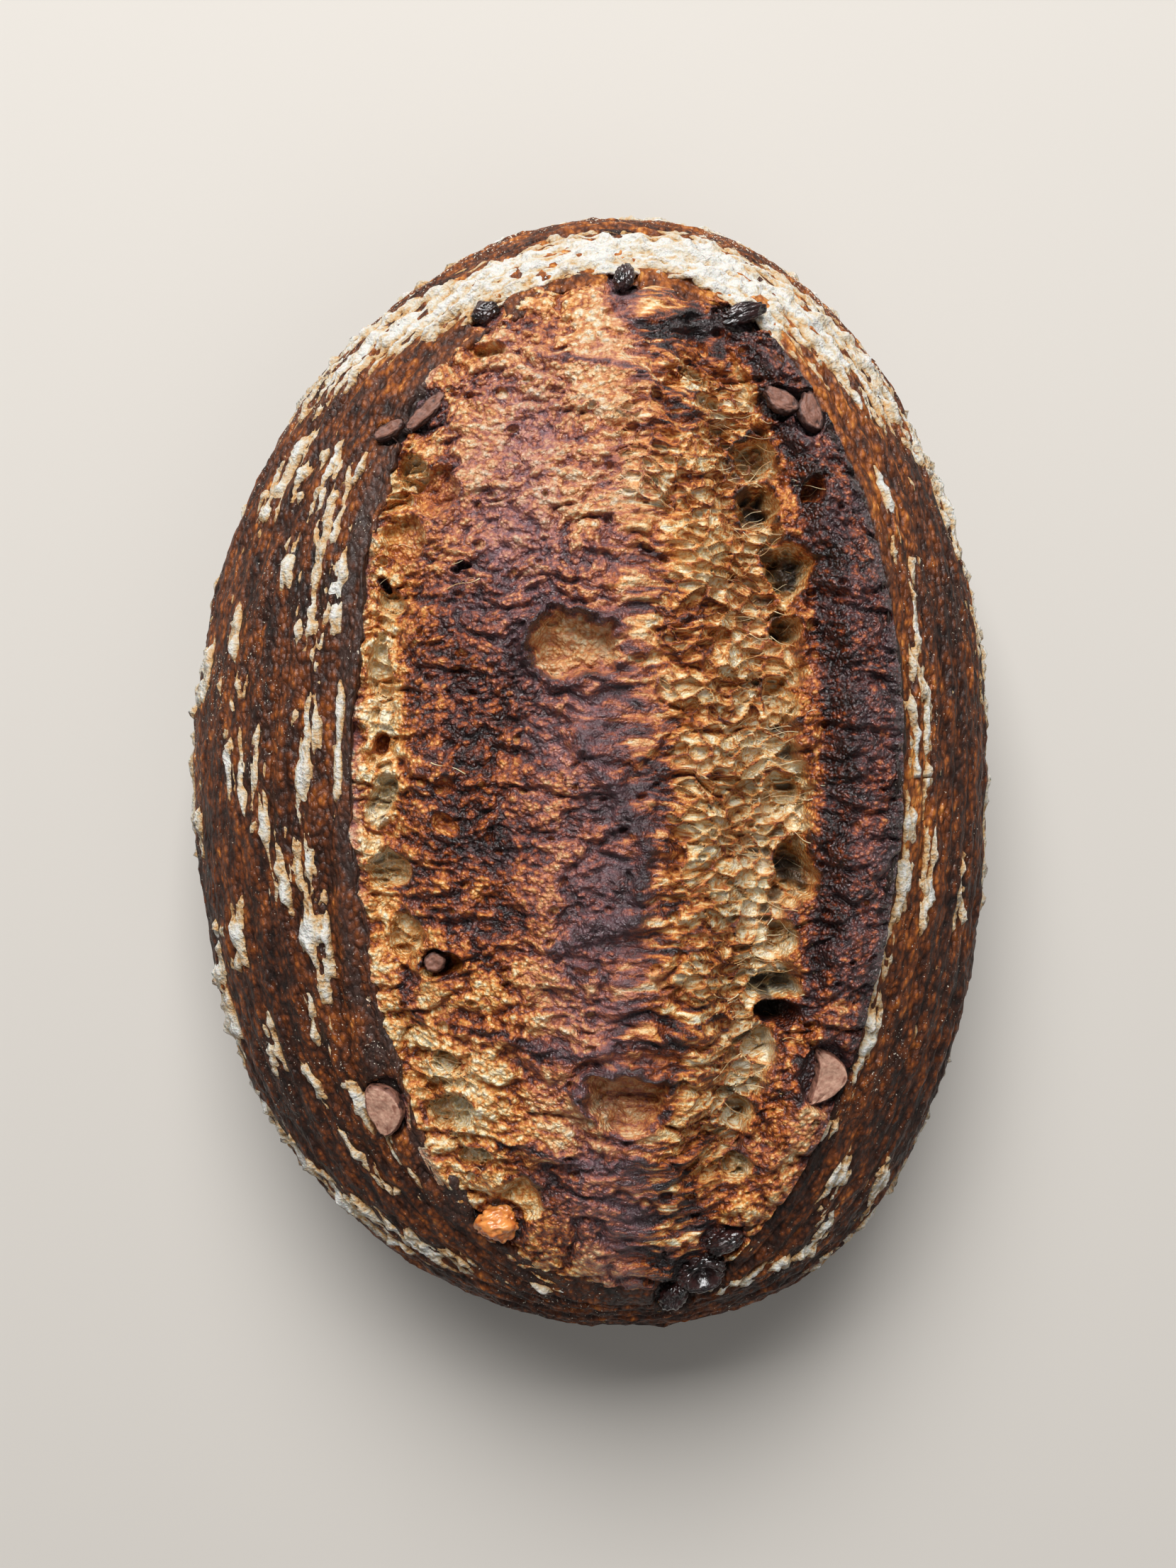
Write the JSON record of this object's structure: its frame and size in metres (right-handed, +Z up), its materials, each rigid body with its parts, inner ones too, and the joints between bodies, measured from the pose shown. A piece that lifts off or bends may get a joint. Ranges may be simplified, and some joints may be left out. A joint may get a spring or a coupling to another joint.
{
  "type": "sourdough loaf",
  "caption": "Whole oval hearth loaf, dark baked and flour dusted, with one long open score, a burnt ear, and nuts and raisins showing at the surface.",
  "frame": {"origin": "middle of the flat base that the loaf stands on", "axes": "+Z up, +Y along the loaf's length towards its floury end, +X towards the ear"},
  "size_m": [0.1801, 0.2506, 0.0958],
  "materials": {
    "crust": "dark baked crust, dry and finely blistered",
    "open_score": "torn golden to mahogany score, part glossy",
    "flour": "caked flour, matt and cracked",
    "nut": "toasted nut, matt",
    "raisin": "dark baked raisin, sticky gloss",
    "golden_raisin": "pale raisin, sticky gloss"
  },
  "bodies": {
    "root": {"loaf": "crust", "nut_right": "nut", "nut_left": "nut", "nut_ear_long": "nut", "nut_ear_curl": "nut", "nut_far_long": "nut", "nut_far_short": "nut", "nut_in_pocket": "nut", "raisin_horn": "raisin", "raisin_far": "raisin", "raisin_far_left": "raisin", "raisin_burst": "raisin", "raisin_burst_near": "raisin", "raisin_burst_far": "raisin", "raisin_golden": "golden_raisin"}
  },
  "joints": []
}
